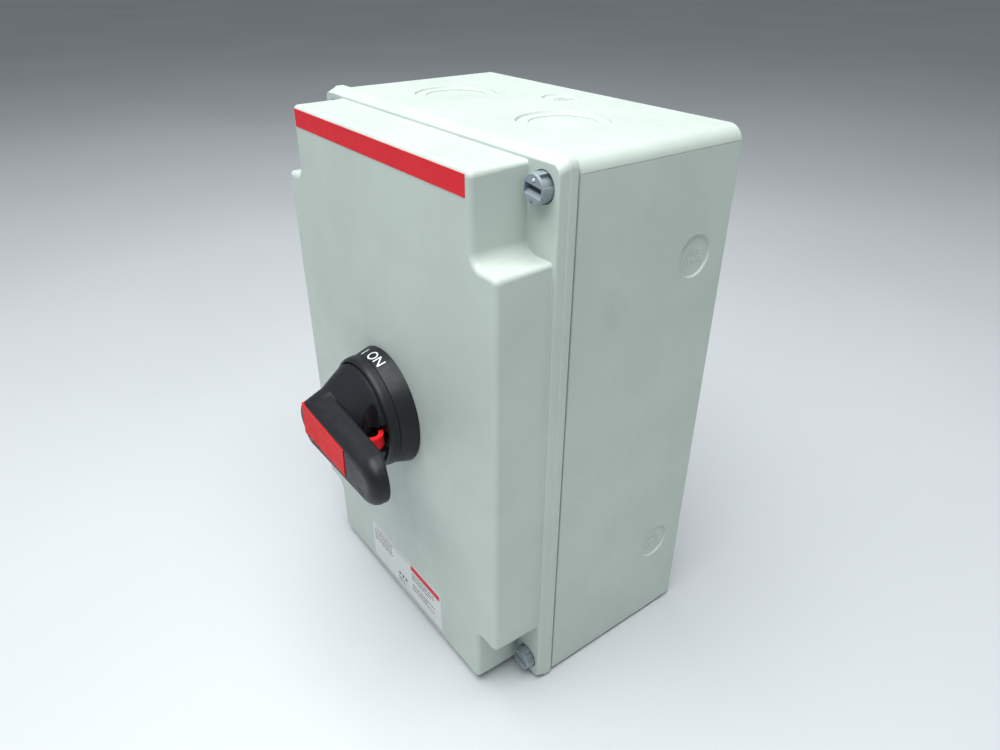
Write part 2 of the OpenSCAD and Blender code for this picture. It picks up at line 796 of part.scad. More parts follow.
base_box();
cover_screw_inserts();
mounting_plate();
plate_screws();
cover();
cover_gasket();
red_stripe();
rating_label();
cover_screw(-1, 1);  // cover_screw_top_left
cover_screw(1, 1);  // cover_screw_top_right
cover_screw(-1, -1);  // cover_screw_bottom_left
cover_screw(1, -1);  // cover_screw_bottom_right
handle_bezel();
bezel_seal();
bezel_screws();
handle_grip();
hub_retaining_ring();
padlock_slide();
padlock_spring();
drive_shaft();
shaft_coupling();
rotor();
moving_contact(0);  // moving_contact_1
moving_contact(1);  // moving_contact_2
moving_contact(2);  // moving_contact_3
switch_base();
deck_housing(0);  // deck_housing_1
deck_housing(1);  // deck_housing_2
deck_housing(2);  // deck_housing_3
mechanism_housing();
detent_plungers();
detent_springs();
stack_bolts();
switch_fixing_screws();
line_contacts();
load_contacts();
terminal_clamps();
terminal_screws();
pole_barriers();
earth_bar();
earth_bar_screws();
earth_terminal_screws();
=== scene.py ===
"""An enclosed rotary isolator switch: detailed pieces, materials, light and camera.

Sizes are in millimetres. A point is given as (x, d, z), where d is its depth, the distance
in front of the back face. The functions below turn them into the frame's metres.
"""
import json
import math
import random

import bmesh
import bpy
from mathutils import Matrix, Vector


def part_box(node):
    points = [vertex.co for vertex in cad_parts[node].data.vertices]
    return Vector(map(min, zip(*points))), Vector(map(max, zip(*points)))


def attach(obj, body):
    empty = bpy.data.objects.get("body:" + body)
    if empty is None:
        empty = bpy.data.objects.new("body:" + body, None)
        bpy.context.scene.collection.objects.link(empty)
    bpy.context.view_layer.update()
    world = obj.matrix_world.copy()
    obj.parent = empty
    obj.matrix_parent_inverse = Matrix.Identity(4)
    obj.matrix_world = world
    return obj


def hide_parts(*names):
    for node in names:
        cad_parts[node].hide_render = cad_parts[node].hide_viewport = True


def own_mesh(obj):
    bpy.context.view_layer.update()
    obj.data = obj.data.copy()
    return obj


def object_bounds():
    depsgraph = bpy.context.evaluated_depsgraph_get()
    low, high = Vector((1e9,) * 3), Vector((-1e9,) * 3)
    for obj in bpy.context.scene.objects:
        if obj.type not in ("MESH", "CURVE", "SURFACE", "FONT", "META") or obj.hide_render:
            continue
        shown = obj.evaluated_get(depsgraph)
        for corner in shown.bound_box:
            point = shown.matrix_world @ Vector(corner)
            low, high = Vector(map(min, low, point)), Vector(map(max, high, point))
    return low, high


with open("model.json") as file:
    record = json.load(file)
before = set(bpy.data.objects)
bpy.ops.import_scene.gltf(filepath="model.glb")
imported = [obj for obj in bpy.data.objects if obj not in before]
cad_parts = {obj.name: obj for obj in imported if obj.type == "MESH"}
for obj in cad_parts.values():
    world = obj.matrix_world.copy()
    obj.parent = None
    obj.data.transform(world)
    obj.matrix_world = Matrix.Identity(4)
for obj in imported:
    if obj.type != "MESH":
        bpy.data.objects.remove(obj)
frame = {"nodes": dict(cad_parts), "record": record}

MM = 0.001
SIDES = (-1, 1)
TURN = 2 * math.pi


def plain_box(bounds):
    """A pair of corners as plain lists of numbers."""
    return [[float(value) for value in corner] for corner in bounds]


CAD_BOX = plain_box(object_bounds())


# ---------------------------------------------------------------- places and sizes


def at(x, d, z):
    """The frame's point for a place in millimetres."""
    return Vector((x, -d, z)) * MM


class Span:
    """Where a CAD node lies, in millimetres."""

    def __init__(self, node):
        low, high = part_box(node)
        self.x0, self.x1 = low.x / MM, high.x / MM
        self.d0, self.d1 = -high.y / MM, -low.y / MM
        self.z0, self.z1 = low.z / MM, high.z / MM
        self.x, self.z = (self.x0 + self.x1) / 2, (self.z0 + self.z1) / 2


COVER = Span("cover")
BASE = Span("base_box")
BEZEL = Span("handle_bezel")
STRIPE = Span("red_stripe")
LABEL = Span("rating_label")

WALL = 3.0
FLANGE_D = COVER.d0 + 9.5
RAISED_X = COVER.x1 - 2.6
RAISED_Z = COVER.z1 - 4.2
NOTCH_X = COVER.x1 - 19.5
NOTCH_Z = COVER.z1 - 42.5
TOP_R, BOTTOM_R = 8.0, 2.5
NOTCH_INNER_R = 6
SCREW_X = Span("cover_screw_top_right").x
SCREW_Z = Span("cover_screw_top_right").z
WALL_HOLE_X, WALL_HOLE_Z = 75, 125
PLATE_POST_X, PLATE_POST_Z = 65, 85
EARTH_POST_X, EARTH_POST_Z = 30, -125
LABEL_SPLIT = LABEL.x0 + 47.5
DOT_Y = 3.75
GRIP_LEAN = math.radians(2.5)
EYE_X, EYE_D, EYE_R = 22.2, 163.3, 6.8
SHACKLE_R = 4.2
HOOK_X = 23.0
TONGUE = (24.0, 29.0)
PLATE_BACK_D = 178.1
SPRING_X = -4
DETENT_X = (22.4, 33.0)


def four_places(x, z):
    """The four places at these distances from the middle, left before right."""
    return [(px, pz) for px in (-x, x) for pz in (-z, z)]


# ---------------------------------------------------------------- outlines


def arc(centre, radius, start, turn, steps):
    """Points along an arc, both ends included."""
    return [
        (
            centre[0] + radius * math.cos(start + turn * k / steps),
            centre[1] + radius * math.sin(start + turn * k / steps),
        )
        for k in range(steps + 1)
    ]


def fillet(corners, inset=0.0, steps=6):
    """An anticlockwise outline with square turns, each corner rounded to its own radius.

    corners is a list of (x, z, radius). inset moves every edge inwards, and the radii follow.
    """
    smallest = 0.02
    points = []
    for i, (x, z, radius) in enumerate(corners):
        before = Vector(corners[i - 1][:2])
        after = Vector(corners[(i + 1) % len(corners)][:2])
        here = Vector((x, z))
        come, go = (here - before).normalized(), (after - here).normalized()
        inwards = Vector((-come.y, come.x)) + Vector((-go.y, go.x))
        bend = 1 if come.x * go.y - come.y * go.x > 0 else -1
        rounding = max(radius - bend * inset, smallest)
        centre = here + inset * inwards + bend * rounding * inwards
        heading = math.atan2(-bend * come.x, bend * come.y)
        points += arc(centre, rounding, heading, bend * math.pi / 2, steps)
    return points


def rectangle(x, z, top_r, bottom_r=None):
    """Corners of a rectangle with half-sizes x and z, rounded alike unless bottom_r is given."""
    low_r = top_r if bottom_r is None else bottom_r
    return [(x, -z, low_r), (x, z, top_r), (-x, z, top_r), (-x, -z, low_r)]


def notched(x, z, notch_x, notch_z, outer_r, inner_r):
    """Corners of a rectangle with a notch cut out of each corner."""
    right = [
        (notch_x, -z, outer_r),
        (notch_x, -notch_z, inner_r),
        (x, -notch_z, outer_r),
        (x, notch_z, outer_r),
        (notch_x, notch_z, inner_r),
        (notch_x, z, outer_r),
    ]
    return right + [(-px, -pz, radius) for px, pz, radius in right]


def disc(x, z, radius, steps=48):
    """A full circle, anticlockwise."""
    return arc((x, z), radius, 0, TURN, steps)[:-1]


def round_edge(d, radius, facing, inset=0.0, steps=6):
    """(depth, inset) pairs that round an outer edge.

    facing is 1 for a front edge and -1 for a back one.
    """
    pairs = []
    for k in range(steps + 1):
        angle = math.pi / 2 * k / steps
        pairs.append(
            (d - facing * radius * (1 - math.sin(angle)), inset + radius * (1 - math.cos(angle)))
        )
    return pairs if facing > 0 else pairs[::-1]


def root_edge(d, radius, steps=5):
    """(depth, inset) pairs that flare a wall out into the flat face that it stands on."""
    pairs = []
    for k in range(steps + 1):
        angle = math.pi / 2 * k / steps
        pairs.append((d + radius * (1 - math.cos(angle)), -radius * (1 - math.sin(angle))))
    return pairs


# ---------------------------------------------------------------- meshes


def loft(rings, closed=False):
    """A mesh through rings of points. It is capped at both ends unless it closes on itself."""
    mesh = bmesh.new()
    rows = [[mesh.verts.new(point) for point in ring] for ring in rings]
    count = len(rows[0])
    for a, b in zip(rows, rows[1:] + rows[:1] if closed else rows[1:]):
        for k in range(count):
            mesh.faces.new((a[k], a[(k + 1) % count], b[(k + 1) % count], b[k]))
    if not closed:
        mesh.faces.new(rows[0])
        mesh.faces.new(rows[-1])
    bmesh.ops.recalc_face_normals(mesh, faces=mesh.faces)
    return mesh


def upright(corners, profile, steps=6):
    """A solid whose outline is fillet(corners), lofted through (depth, inset) pairs."""
    return loft([[at(x, d, z) for x, z in fillet(corners, inset, steps)] for d, inset in profile])


def prism(points, d0, d1):
    """A plain outline made solid between two depths."""
    return loft([[at(x, d, z) for x, z in points] for d in (d0, d1)])


def lathe(profile, x=0.0, z=0.0, steps=96, closed=False):
    """A turned solid about the depth axis through (x, z), from (radius, depth) pairs."""
    thin = 0.01
    rings = [[at(px, d, pz) for px, pz in disc(x, z, max(r, thin), steps)] for r, d in profile]
    return loft(rings, closed)


def join(*meshes):
    """Several meshes in one, as separate shells."""
    joined = bmesh.new()
    for mesh in meshes:
        data = bpy.data.meshes.new("part")
        mesh.to_mesh(data)
        mesh.free()
        joined.from_mesh(data)
        bpy.data.meshes.remove(data)
    return joined


def to_object(mesh, name):
    """A Blender object from a bmesh, which is freed."""
    data = bpy.data.meshes.new(name)
    mesh.to_mesh(data)
    mesh.free()
    made = bpy.data.objects.new(name, data)
    bpy.context.scene.collection.objects.link(made)
    return made


def combine(target, tool, operation):
    """The Boolean of two bmeshes, as a new bmesh."""
    first, second = to_object(target, "first"), to_object(tool, "second")
    cut = first.modifiers.new("cut", "BOOLEAN")
    cut.operation, cut.object, cut.solver = operation, second, "EXACT"
    done = apply_modifiers(first)
    bpy.data.objects.remove(second)
    bpy.data.objects.remove(first)
    return done


def apply_modifiers(made):
    """The object's evaluated mesh, as a bmesh."""
    seen = made.evaluated_get(bpy.context.evaluated_depsgraph_get())
    data = bpy.data.meshes.new_from_object(seen)
    mesh = bmesh.new()
    mesh.from_mesh(data)
    bpy.data.meshes.remove(data)
    return mesh


def minus(target, *tools):
    """target with every tool cut out of it in one go: the tools don't touch each other."""
    return combine(target, join(*tools), "DIFFERENCE")


def plus(target, *tools):
    """target with every tool added to it in one go: the tools don't touch each other."""
    return combine(target, join(*tools), "UNION")


def piece(name, mesh, material, body, node):
    """A finished piece that rides on a body, and stands for a CAD node if one is given."""
    sharp, tiny = 32, 0.002 * MM
    bmesh.ops.remove_doubles(mesh, verts=mesh.verts, dist=tiny)
    bmesh.ops.dissolve_degenerate(mesh, edges=mesh.edges, dist=tiny)
    made = to_object(mesh, name)
    made.data.materials.append(material)
    made.data.shade_smooth()
    made.data.set_sharp_from_angle(angle=math.radians(sharp))
    even = made.modifiers.new("even_faces", "WEIGHTED_NORMAL")
    even.keep_sharp, even.weight = True, 80
    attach(made, body)
    if node:
        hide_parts(node)
    return made


SLOTS = {part["node"]: part["material_slot"] for part in frame["record"]["subparts"]}


# ---------------------------------------------------------------- materials


class Surface:
    """A material with its shader, and short calls that add nodes to it."""

    def __init__(self, name, **sockets):
        self.material = bpy.data.materials.new(name)
        self.material.use_nodes = True
        self.tree = self.material.node_tree
        self.shader = self.tree.nodes["Principled BSDF"]
        self.place = self.node("TexCoord").outputs["Object"]
        for socket, value in sockets.items():
            self.feed(socket.replace("_", " "), value)

    def feed(self, socket, value):
        """Sets one of the shader's sockets, or links a node's output to it."""
        names = {name.lower(): name for name in self.shader.inputs.keys()}
        target = self.shader.inputs[names[socket.lower()]]
        if isinstance(value, bpy.types.NodeSocket):
            self.tree.links.new(value, target)
        elif isinstance(value, tuple) and len(value) == 3:
            target.default_value = (*value, 1)
        else:
            target.default_value = value

    def node(self, kind, inputs=None, **settings):
        """A new node, with its settings made and its inputs set or linked."""
        made = self.tree.nodes.new("ShaderNode" + kind)
        for key, value in settings.items():
            setattr(made, key, value)
        for key, value in (inputs or {}).items():
            if isinstance(value, bpy.types.NodeSocket):
                self.tree.links.new(value, made.inputs[key])
            elif isinstance(value, tuple) and len(value) == 3 and made.inputs[key].type == "RGBA":
                made.inputs[key].default_value = (*value, 1)
            else:
                made.inputs[key].default_value = value
        return made

    def stretched(self, x=1.0, y=1.0, z=1.0):
        """The place, with each axis scaled, for marks that run one way."""
        mapping = self.node("Mapping", {"Vector": self.place, "Scale": (x, y, z)})
        return mapping.outputs["Vector"]

    def noise(self, size, detail=3.0, place=None, rough=0.5):
        """Cloudy noise from 0 to 1, whose blotches are about size millimetres across."""
        made = self.node(
            "TexNoise",
            {
                "Vector": place or self.place,
                "Scale": 1 / (size * MM),
                "Detail": detail,
                "Roughness": rough,
            },
        )
        return made.outputs["Fac"]

    def between(self, value, low, high, out_low=0.0, out_high=1.0):
        """value, stretched smoothly from low..high to out_low..out_high."""
        made = self.node(
            "MapRange",
            {
                "Value": value,
                "From Min": low,
                "From Max": high,
                "To Min": out_low,
                "To Max": out_high,
            },
            interpolation_type="SMOOTHSTEP",
        )
        return made.outputs["Result"]

    def math(self, operation, a, b):
        """One sum, such as MULTIPLY or MAXIMUM."""
        made = self.node("Math", {0: a, 1: b}, operation=operation)
        return made.outputs["Value"]

    def mix(self, share, a, b):
        """Colour a where share is 0, and colour b where it is 1."""
        made = self.node("Mix", {"Factor": share, 6: a, 7: b}, data_type="RGBA")
        return made.outputs[2]

    def bump(self, height, depth):
        """A bump of that depth in millimetres."""
        inputs = {"Height": height, "Distance": depth * MM, "Strength": 1.0}
        return self.node("Bump", inputs).outputs["Normal"]


def darker(colour, share):
    """The colour times share."""
    return tuple(channel * share for channel in colour)


def moulded(name, colour, roughness, grain=0.02, grain_size=0.5, dirt=0.0, wear=0.1, **sockets):
    """Moulded plastic: fine grain, a little cloudiness, rub marks and, if asked, dirt specks."""
    look = Surface(name, roughness=roughness, **sockets)
    cloud = look.between(look.noise(45, 4), 0.35, 0.65)
    tint = look.mix(cloud, darker(colour, 0.94), colour)
    rubbed = look.between(look.noise(9, 6, look.stretched(1, 1, 0.25), 0.7), 0.56, 0.8, 0, wear)
    tint = look.mix(rubbed, tint, tuple(0.7 * channel + 0.12 for channel in colour))
    if dirt:
        speck = look.between(look.noise(1.6, 2), 0.76, 0.82, 0, dirt)
        smudge = look.between(look.noise(28, 7, None, 0.65), 0.55, 0.85, 0, 0.45 * dirt)
        grime = look.math("MAXIMUM", speck, smudge)
        tint = look.mix(grime, tint, darker(colour, 0.55))
    look.feed("Base Color", tint)
    spread = look.math("ADD", look.between(look.noise(6, 5), 0.3, 0.7, -0.06, 0.06), roughness)
    look.feed("Roughness", spread)
    look.feed("Normal", look.bump(look.noise(grain_size, 2), grain))
    return look.material


def metal(name, colour, roughness, grain_along=(1, 1, 1)):
    """Bare or plated metal with fine tool marks, cloudy plating and a few dull spots."""
    stain = (0.3, 0.28, 0.25)
    look = Surface(name, metallic=1.0)
    cloud = look.between(look.noise(5, 5), 0.3, 0.7)
    tint = look.mix(cloud, darker(colour, 0.82), colour)
    spots = look.between(look.noise(2.2, 4), 0.66, 0.78, 0, 0.5)
    look.feed("Base Color", look.mix(spots, tint, stain))
    lines = look.noise(0.35, 2, look.stretched(*grain_along))
    look.feed("Roughness", look.between(lines, 0.3, 0.7, roughness - 0.08, roughness + 0.12))
    look.feed("Normal", look.bump(lines, 0.012))
    return look.material


def printed(name, colour, roughness, worn=0.0):
    """Printed film: an even colour, slightly wavy, with tiny chips where it is worn."""
    under = (0.75, 0.78, 0.76)
    look = Surface(name, specular_ior_level=0.15)
    cloud = look.between(look.noise(18, 3), 0.3, 0.7)
    tint = look.mix(cloud, darker(colour, 0.93), colour)
    if worn:
        chips = look.between(look.noise(1.1, 3), 0.74, 0.77, 0, worn)
        patches = look.between(look.noise(30, 2), 0.5, 0.62)
        tint = look.mix(look.math("MULTIPLY", chips, patches), tint, under)
    look.feed("Base Color", tint)
    rough = look.between(look.noise(4, 5), 0.3, 0.7, roughness - 0.05, roughness + 0.08)
    look.feed("Roughness", rough)
    look.feed("Normal", look.bump(look.noise(14, 1), 0.03))
    return look.material


MATERIALS = {
    "enclosure_grey": moulded(
        "enclosure_grey", (0.52, 0.59, 0.54), 0.5, grain=0.02, grain_size=0.45, dirt=0.5
    ),
    "gasket": moulded("gasket", (0.03, 0.03, 0.03), 0.75, grain=0.03),
    "red_film": printed("red_film", (0.72, 0.022, 0.035), 0.42, worn=0.9),
    "label_white": printed("label_white", (0.74, 0.76, 0.75), 0.42),
    "screw_grey": moulded("screw_grey", (0.25, 0.30, 0.33), 0.42, grain_size=0.3, dirt=0.5),
    "brass": metal("brass", (0.78, 0.58, 0.28), 0.32),
    "handle_black": moulded(
        "handle_black",
        (0.012, 0.013, 0.016),
        0.42,
        grain=0.03,
        grain_size=0.4,
        wear=0.03,
        specular_ior_level=0.3,
    ),
    "slide_red": moulded(
        "slide_red",
        (0.74, 0.016, 0.02),
        0.5,
        grain=0.08,
        grain_size=1.0,
        specular_ior_level=0.1,
    ),
    "zinc_steel": metal("zinc_steel", (0.62, 0.63, 0.66), 0.34, (1, 1, 4)),
    "rotor_plastic": moulded("rotor_plastic", (0.30, 0.05, 0.03), 0.5),
    "copper": metal("copper", (0.80, 0.42, 0.28), 0.35, (1, 4, 1)),
    "switch_plastic": moulded("switch_plastic", (0.055, 0.06, 0.068), 0.5),
    "barrier_plastic": moulded("barrier_plastic", (0.70, 0.70, 0.66), 0.5),
}
PRINT_GREY = printed("print_grey", (0.10, 0.12, 0.13), 0.5)
PRINT_WHITE = printed("print_white", (0.80, 0.82, 0.82), 0.5)


# ---------------------------------------------------------------- cover


def flange():
    """The cover's flange: a stepped side, then a slope up to its rounded front edge."""
    x, z, front = COVER.x1, COVER.z1, FLANGE_D
    sizes = [  # depth, half width, half height, top radius, bottom radius
        (COVER.d0, x - 0.3, z - 0.3, 4.7, 3.2),
        (COVER.d0 + 0.3, x, z, 5.0, 3.5),
        (front - 5.6, x, z, 5.0, 3.5),
        (front - 5.2, x - 0.15, z - 0.15, 4.9, 3.4),
        (front - 5.0, x - 0.4, z - 0.4, 4.8, 3.4),
        (front - 4.8, x - 0.35, z - 0.5, 4.8, 3.4),
    ]
    edge_x, edge_z = 0.85, 0.8
    for k in range(7):
        angle = math.pi / 2 * k / 6
        turn = 1 - math.cos(angle)
        inset_x, inset_z = 0.55 + edge_x * turn, 2.4 + edge_z * turn
        depth = front - 0.9 * (1 - math.sin(angle))
        sizes.append((depth, x - inset_x, z - inset_z, 4.4 - 0.8 * turn, 3.2 - 0.5 * turn))
    rings = []
    for d, half_x, half_z, top_r, bottom_r in sizes:
        outline = fillet(rectangle(half_x, half_z, top_r, bottom_r), 0, 10)
        rings.append([at(px, d, pz) for px, pz in outline])
    return loft(rings)


def raised_front():
    """The raised front, whose upright corners are sharper at the root than at the face."""
    profile = [(FLANGE_D - 2, -0.5)] + root_edge(FLANGE_D, 0.5) + round_edge(COVER.d1, 2.6, 1)
    rings = []
    for d, inset in profile:
        corner_r = 1.8 + 1.6 * (d - FLANGE_D) / (COVER.d1 - FLANGE_D)
        outline = notched(RAISED_X, RAISED_Z, NOTCH_X, NOTCH_Z, corner_r, NOTCH_INNER_R)
        rings.append([at(x, d, z) for x, z in fillet(outline, inset, 8)])
    return loft(rings)


def cover():
    """The cover: the flange and the raised front, open behind, with its holes and groove."""
    shank_r, head_r, seat = 3.2, 6.8, COVER.d0 + WALL
    inside = notched(
        RAISED_X - WALL, RAISED_Z - WALL, NOTCH_X - WALL, NOTCH_Z - WALL, 1, NOTCH_INNER_R
    )
    hollow = upright(inside, [(COVER.d0 - 1, 0)] + round_edge(COVER.d1 - WALL, 1.5, 1))
    solid = minus(plus(flange(), raised_front()), hollow)
    screw_holes = [
        lathe([(shank_r, COVER.d0 - 1), (shank_r, seat)] + widened(head_r, seat), x, z)
        for x, z in four_places(SCREW_X, SCREW_Z)
    ]
    solid = minus(solid, *screw_holes, *bezel_holes())
    return minus(solid, gasket_groove())


def widened(radius, d):
    """The counterbore that a screw's head sits in, with its front edge broken."""
    break_edge = 0.25
    return [
        (radius, d),
        (radius, FLANGE_D - break_edge),
        (radius + break_edge, FLANGE_D),
        (radius + break_edge, FLANGE_D + 1),
    ]


def bezel_holes():
    """The holes behind the bezel: one for the hub and one for each bezel screw."""
    back, front = COVER.d1 - 2 * WALL, COVER.d1 + 1
    hub_r, screw_r = 11, 2.1
    reach = Span("bezel_screws").x1 - 3.6
    holes = [lathe([(hub_r, back), (hub_r, front)])]
    for x, z in four_places(reach, reach):
        holes.append(lathe([(screw_r, back), (screw_r, front)], x, z, 24))
    return holes


def gasket_groove():
    """The closed groove in the cover's rim that holds the gasket."""
    seal = Span("cover_gasket")
    inner, clear, notch_x, notch_z = 2.1, 0.05, 83.0, 108.0
    outer = notched(
        seal.x1 + clear, seal.z1 + clear, notch_x + clear, notch_z + clear, 0.3, 0.3
    )
    rings = [
        [at(x, d, z) for x, z in fillet(outer, inset, 2)]
        for d, inset in (
            (COVER.d0 - 1, 0),
            (seal.d1 + clear, 0),
            (seal.d1 + clear, inner),
            (COVER.d0 - 1, inner),
        )
    ]
    return loft(rings, closed=True)


# ---------------------------------------------------------------- base


def base_shell():
    """The base before it is hollowed: rounded corners, a soft back edge and a stepped rim."""
    step_d, step = BASE.d1 - 1.3, 1.3
    rim = [(step_d - 0.3, 0), (step_d, 0.3), (step_d, step), (BASE.d1, step)]
    outline = rectangle(BASE.x1, BASE.z1, TOP_R, BOTTOM_R)
    return upright(outline, round_edge(BASE.d0, 1.3, -1) + rim, steps=12)


def base_room():
    """The space inside the base, with the posts, bosses and pads left standing in it."""
    gasket_x, gasket_z, notch_x, notch_z, rib = 99.3, 147, 82, 107, 3.4
    room_x, top = gasket_x - rib / 2, BASE.d1 + 1
    near_x, near_z = notch_x - rib / 2, notch_z - rib / 2
    floor = round_edge(WALL, 1.0, -1, steps=3)
    room = upright(notched(room_x, gasket_z, near_x, near_z, 2, 2), floor + [(top, 0)])
    pockets = []
    for sx in SIDES:
        for sz in SIDES:
            pockets.append(corner_pocket(sx, sz, near_x + rib, near_z + rib, room_x, gasket_z))
    return minus(join(room, *pockets), *standing())


def corner_pocket(sx, sz, x0, z0, x1, z1):
    """The small room round a cover screw's post."""
    middle_x, middle_z = (x0 + x1) / 2, (z0 + z1) / 2
    points = [
        (x + sx * middle_x, z + sz * middle_z)
        for x, z in fillet(rectangle((x1 - x0) / 2, (z1 - z0) / 2, 1.5))
    ]
    return prism(points, WALL, BASE.d1 + 1)


def standing():
    """What stands on the base's floor: screw posts, wall bosses, plate pads and earth posts."""
    foot = 0.5
    top_edge = [(6.5, BASE.d1 - 0.3), (6.2, BASE.d1), (6.2, BASE.d1 + 2)]
    posts = [
        lathe([(6.5, foot)] + top_edge, x, z, 40)
        for x, z in four_places(SCREW_X, SCREW_Z)
    ]
    for x, z in four_places(WALL_HOLE_X, WALL_HOLE_Z):
        posts.append(lathe([(8, foot), (8, 4.6), (7.6, 5)], x, z, 40))
    for x, z in four_places(PLATE_POST_X, PLATE_POST_Z):
        posts.append(lathe([(6.4, foot), (6, 8)], x, z, 40))
    for x in (-EARTH_POST_X, EARTH_POST_X):
        posts.append(lathe([(5, foot), (4.5, 10)], x, EARTH_POST_Z, 40))
    return posts


def bores():
    """Round holes in the base: wall holes right through, and blind ones in the posts."""
    post_r, wall_r, thread_r = 4.5, 2.75, 2
    made = [
        lathe([(post_r, 74), (post_r, BASE.d1 + 1)], x, z, 40)
        for x, z in four_places(SCREW_X, SCREW_Z)
    ]
    for x, z in four_places(WALL_HOLE_X, WALL_HOLE_Z):
        made.append(lathe([(wall_r, -1), (wall_r, 6)], x, z, 32))
    for x, z in four_places(PLATE_POST_X, PLATE_POST_Z):
        made.append(lathe([(thread_r, 4), (thread_r, 9)], x, z, 24))
    for x in (-EARTH_POST_X, EARTH_POST_X):
        made.append(lathe([(thread_r, 4), (thread_r, 11)], x, EARTH_POST_Z, 24))
    return made


def sunk_disc(radius, deep, slope=0.5, steps=72):
    """Rings that cut a round recess about the Z axis, with a sloped wall and a broken lip."""
    lip = 0.25
    profile = [
        (radius + slope + lip, 1),
        (radius + slope + lip, 0.001),
        (radius + slope + lip / 3, -lip / 3),
        (radius + slope, -lip),
        (radius, -deep),
    ]
    return [[(r * math.cos(a), r * math.sin(a), h) for a in turns(steps)] for r, h in profile]


def turns(steps):
    """Evenly spaced angles all the way round."""
    return [TURN * k / steps for k in range(steps)]


def placed(rings, matrix):
    """A lofted solid whose rings are in millimetres, moved to its place on the box."""
    return loft([[matrix @ (Vector(point) * MM) for point in ring] for ring in rings])


def wall_faces():
    """(place, large) for each knockout: a matrix whose Z axis points out of the wall there."""
    large_x, large_d, small_d, side_z = 44.5, 60.7, 23, 91
    faces = []
    for s in SIDES:
        flip = Matrix.Rotation(0 if s > 0 else math.pi, 4, "X")
        for x in (-large_x, large_x):
            faces.append((Matrix.Translation(at(x, large_d, s * BASE.z1)) @ flip, True))
        faces.append((Matrix.Translation(at(0, small_d, s * BASE.z1)) @ flip, False))
        lie = Matrix.Rotation(s * math.pi / 2, 4, "Y")
        for z in (-side_z, side_z):
            faces.append((Matrix.Translation(at(s * BASE.x1, small_d, z)) @ lie, False))
    return faces


def knockouts():
    """Cutters for the round knockouts in the four walls."""
    large_r, small_r, deep = 21.9, 10.25, 1.1
    return [
        placed(sunk_disc(large_r if large else small_r, deep), matrix)
        for matrix, large in wall_faces()
    ]


def inner_knockouts():
    """The smaller, deeper disc in the middle of each large knockout."""
    radius, deep = 16.4, 1.5
    rings = [
        [(radius * math.cos(a), radius * math.sin(a), h) for a in turns(64)] for h in (0, -deep)
    ]
    return [placed(rings, matrix) for matrix, large in wall_faces() if large]


def back_recess():
    """The shallow recess in the back face, with a ring left round each wall hole."""
    rim = 12
    recess = upright(
        rectangle(BASE.x1 - rim, BASE.z1 - rim, 4), [(-1, -0.5), (0, -0.3), (0.8, 0)]
    )
    rings = [
        lathe([(9.3, -2), (9.3, 0), (9, 2)], x, z, 48)
        for x, z in four_places(WALL_HOLE_X, WALL_HOLE_Z)
    ]
    return minus(recess, *rings)


def mould_lines():
    """Fine grooves along the sides, where the top corners start to turn, and the edge nick."""
    deep, half = 0.35, 0.16
    z = BASE.z1 - TOP_R + 1.2
    lines = [
        prism(
            [(s * (BASE.x1 - deep), z - half), (s * (BASE.x1 + 1), z - half)]
            + [(s * (BASE.x1 + 1), z + half), (s * (BASE.x1 - deep), z + half)],
            1.6,
            BASE.d1 + 1,
        )
        for s in SIDES
    ]
    nick = prism([(-47.5, 147.5), (-38.5, 147.5), (-38.5, 150), (-47.5, 150)], -1, 1.5)
    return lines + [nick]


def raised_marks(seed):
    """Two rows of short raised bars on a small knockout, in place of its moulded sizes."""
    draw = random.Random(seed)
    bars = []
    for row, count in ((-2.2, 4), (2.4, 6)):
        for k in range(count):
            x = row + draw.uniform(-0.2, 0.2)
            y = (k - (count - 1) / 2) * 2.1
            wide, tall = draw.uniform(0.9, 1.3), 0.42
            outline = [(x + wide, y - tall), (x + wide, y + tall)]
            outline += [(x - wide, y + tall), (x - wide, y - tall)]
            bars.append([[(px, py, h) for px, py in outline] for h in (-1.3, -0.75)])
    return bars


def base():
    """The base box: a deep shell with knockouts, posts and fixing holes."""
    solid = minus(base_shell(), base_room())
    solid = minus(solid, *bores(), *mould_lines())
    solid = minus(solid, *knockouts(), back_recess())
    solid = minus(solid, *inner_knockouts())
    marks = []
    for seed, (matrix, large) in enumerate(wall_faces()):
        if not large:
            marks += [placed(bar, matrix) for bar in raised_marks(seed)]
    return plus(solid, *marks)


# ---------------------------------------------------------------- stickers


def sheet(points, d0, thick, edge=0.05):
    """A thin film with its front edge broken."""
    centre = Vector((sum(p[0] for p in points), sum(p[1] for p in points))) / len(points)
    shrunk = [Vector(p) + (centre - Vector(p)).normalized() * edge for p in points]
    rings = [
        [at(x, d0, z) for x, z in points],
        [at(x, d0 + thick - edge, z) for x, z in points],
        [at(x, d0 + thick, z) for x, z in shrunk],
    ]
    return loft(rings)


def bar(x0, x1, z0, z1):
    """The four corners of an upright rectangle."""
    return [(x0, z0), (x1, z0), (x1, z1), (x0, z1)]


def stripe():
    """The red film along the top of the front."""
    return sheet(bar(STRIPE.x0, STRIPE.x1, STRIPE.z0, STRIPE.z1), STRIPE.d0, 0.2)


def label():
    """The white rating label."""
    points = fillet(rectangle((LABEL.x1 - LABEL.x0) / 2, (LABEL.z1 - LABEL.z0) / 2, 0.8))
    return sheet([(x + LABEL.x, z + LABEL.z) for x, z in points], LABEL.d0, 0.15)


def text_lines(draw, x0, x1, z_top, count, pitch, tall):
    """Rows of short plain bars that stand for lines of print."""
    bars = []
    for row in range(count):
        z = z_top - row * pitch
        x = x0
        end = x0 + (x1 - x0) * draw.uniform(0.7, 1.0)
        while x < end:
            wide = min(draw.uniform(1.6, 5.5), end - x)
            if wide > 0.8:
                bars.append(bar(x, x + wide, z - tall, z))
            x += wide + draw.uniform(0.5, 0.9)
    return bars


